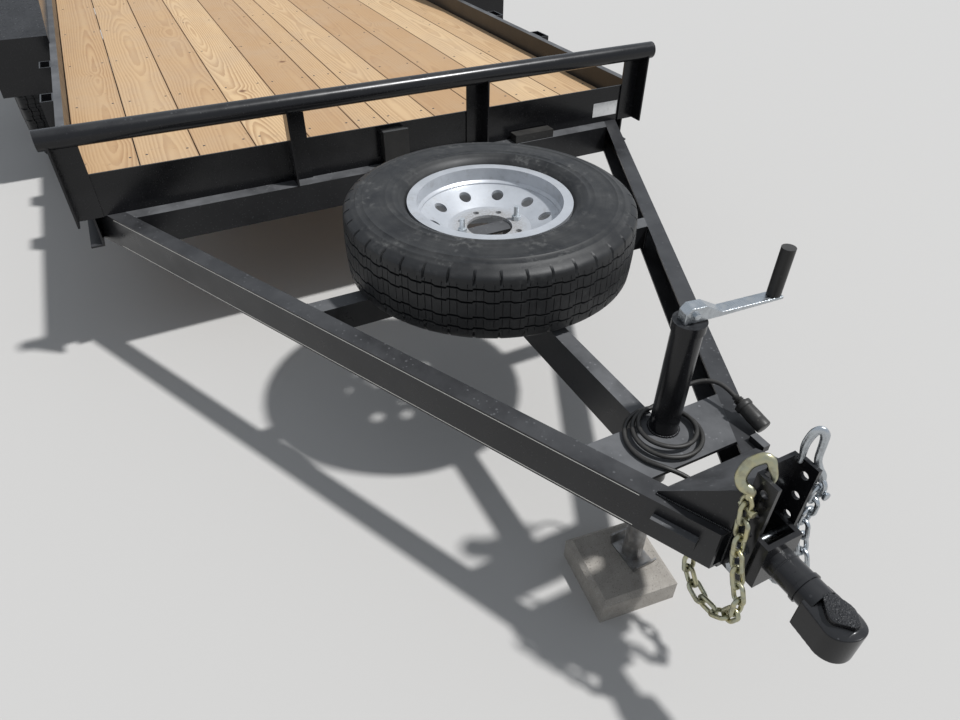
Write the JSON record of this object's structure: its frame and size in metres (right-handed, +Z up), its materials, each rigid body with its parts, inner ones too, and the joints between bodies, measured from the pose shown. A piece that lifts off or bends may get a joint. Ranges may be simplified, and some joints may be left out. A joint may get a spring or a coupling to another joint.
{
  "type": "utility trailer",
  "caption": "Tandem axle flatbed utility trailer with a plank deck, a low front pipe rail, sheet fenders, a spare on the tongue, a ball coupler, a jack on a paver and safety chains.",
  "frame": {"origin": "on the floor under the middle of the whole trailer's length and width", "axes": "+X forward to the coupler, +Y to the trailer's left, +Z up"},
  "size_m": [6.3718, 2.636, 0.915],
  "materials": {
    "black_paint": "gloss, dusty on top",
    "deck_wood": "sawn pine, worn",
    "zinc_steel": "zinc plated",
    "yellow_zinc": "yellow zinc plated",
    "rim_silver": "silver paint, scuffed",
    "hub_iron": "painted, dusty",
    "tyre_rubber": "dusty",
    "cable_rubber": "satin",
    "black_plastic": "satin",
    "lamp_red": "clear red",
    "paver_concrete": "rough cast"
  },
  "bodies": {
    "root": {"side_rail_left": "black_paint", "side_rail_right": "black_paint", "lower_beam_left": "black_paint", "lower_beam_right": "black_paint", "header": "black_paint", "rear_bumper": "black_paint", "joists": "black_paint", "pipe_rail": "black_paint", "front_posts_left": "black_paint", "front_posts_right": "black_paint", "stake_pockets_left": "black_paint", "stake_pockets_right": "black_paint", "tongue_rail_left": "black_paint", "tongue_rail_right": "black_paint", "tongue_crossmember": "black_paint", "spare_tie": "black_paint", "tongue_centre": "black_paint", "tongue_plates": "black_paint", "coupler_channel": "black_paint", "coupler_neck": "black_paint", "coupler_head": "black_paint", "jack_tube": "black_paint", "axle_front": "black_paint", "axle_rear": "black_paint", "suspension_left": "black_paint", "suspension_right": "black_paint", "spare_mount": "black_paint", "fender_top_left": "black_paint", "fender_front_left": "black_paint", "fender_rear_left": "black_paint", "fender_top_right": "black_paint", "fender_front_right": "black_paint", "fender_rear_right": "black_paint", "deck_planks": "deck_wood", "coupler_bolts": "zinc_steel", "jack_block": "paver_concrete", "jack_crank": "zinc_steel", "jack_grip": "black_plastic", "spare_tyre": "tyre_rubber", "spare_rim": "rim_silver", "tail_lamps": "lamp_red", "wiring_boxes": "black_plastic", "safety_chain_left": "zinc_steel", "safety_chain_right": "yellow_zinc", "harness_cable": "cable_rubber", "harness_plug": "black_plastic"},
    "wheel_front_left": {"tyre_front_left": "tyre_rubber", "rim_front_left": "rim_silver", "hub_front_left": "hub_iron"},
    "wheel_front_right": {"tyre_front_right": "tyre_rubber", "rim_front_right": "rim_silver", "hub_front_right": "hub_iron"},
    "wheel_rear_left": {"tyre_rear_left": "tyre_rubber", "rim_rear_left": "rim_silver", "hub_rear_left": "hub_iron"},
    "wheel_rear_right": {"tyre_rear_right": "tyre_rubber", "rim_rear_right": "rim_silver", "hub_rear_right": "hub_iron"},
    "jack_leg": {"jack_leg": "zinc_steel"}
  },
  "joints": [
    {"name": "spin_front_left", "type": "hinge", "parent": "root", "child": "wheel_front_left", "pos_m": [-0.95293, 1.188, 0.391], "axis": [0, 1, 0], "continuous": true},
    {"name": "spin_front_right", "type": "hinge", "parent": "root", "child": "wheel_front_right", "pos_m": [-0.95293, -1.188, 0.391], "axis": [0, 1, 0], "continuous": true},
    {"name": "spin_rear_left", "type": "hinge", "parent": "root", "child": "wheel_rear_left", "pos_m": [-1.84193, 1.188, 0.391], "axis": [0, 1, 0], "continuous": true},
    {"name": "spin_rear_right", "type": "hinge", "parent": "root", "child": "wheel_rear_right", "pos_m": [-1.84193, -1.188, 0.391], "axis": [0, 1, 0], "continuous": true},
    {"name": "jack_slide", "type": "slide", "parent": "root", "child": "jack_leg", "axis": [0, 0, 1], "range_m": [0, 0.26]}
  ]
}
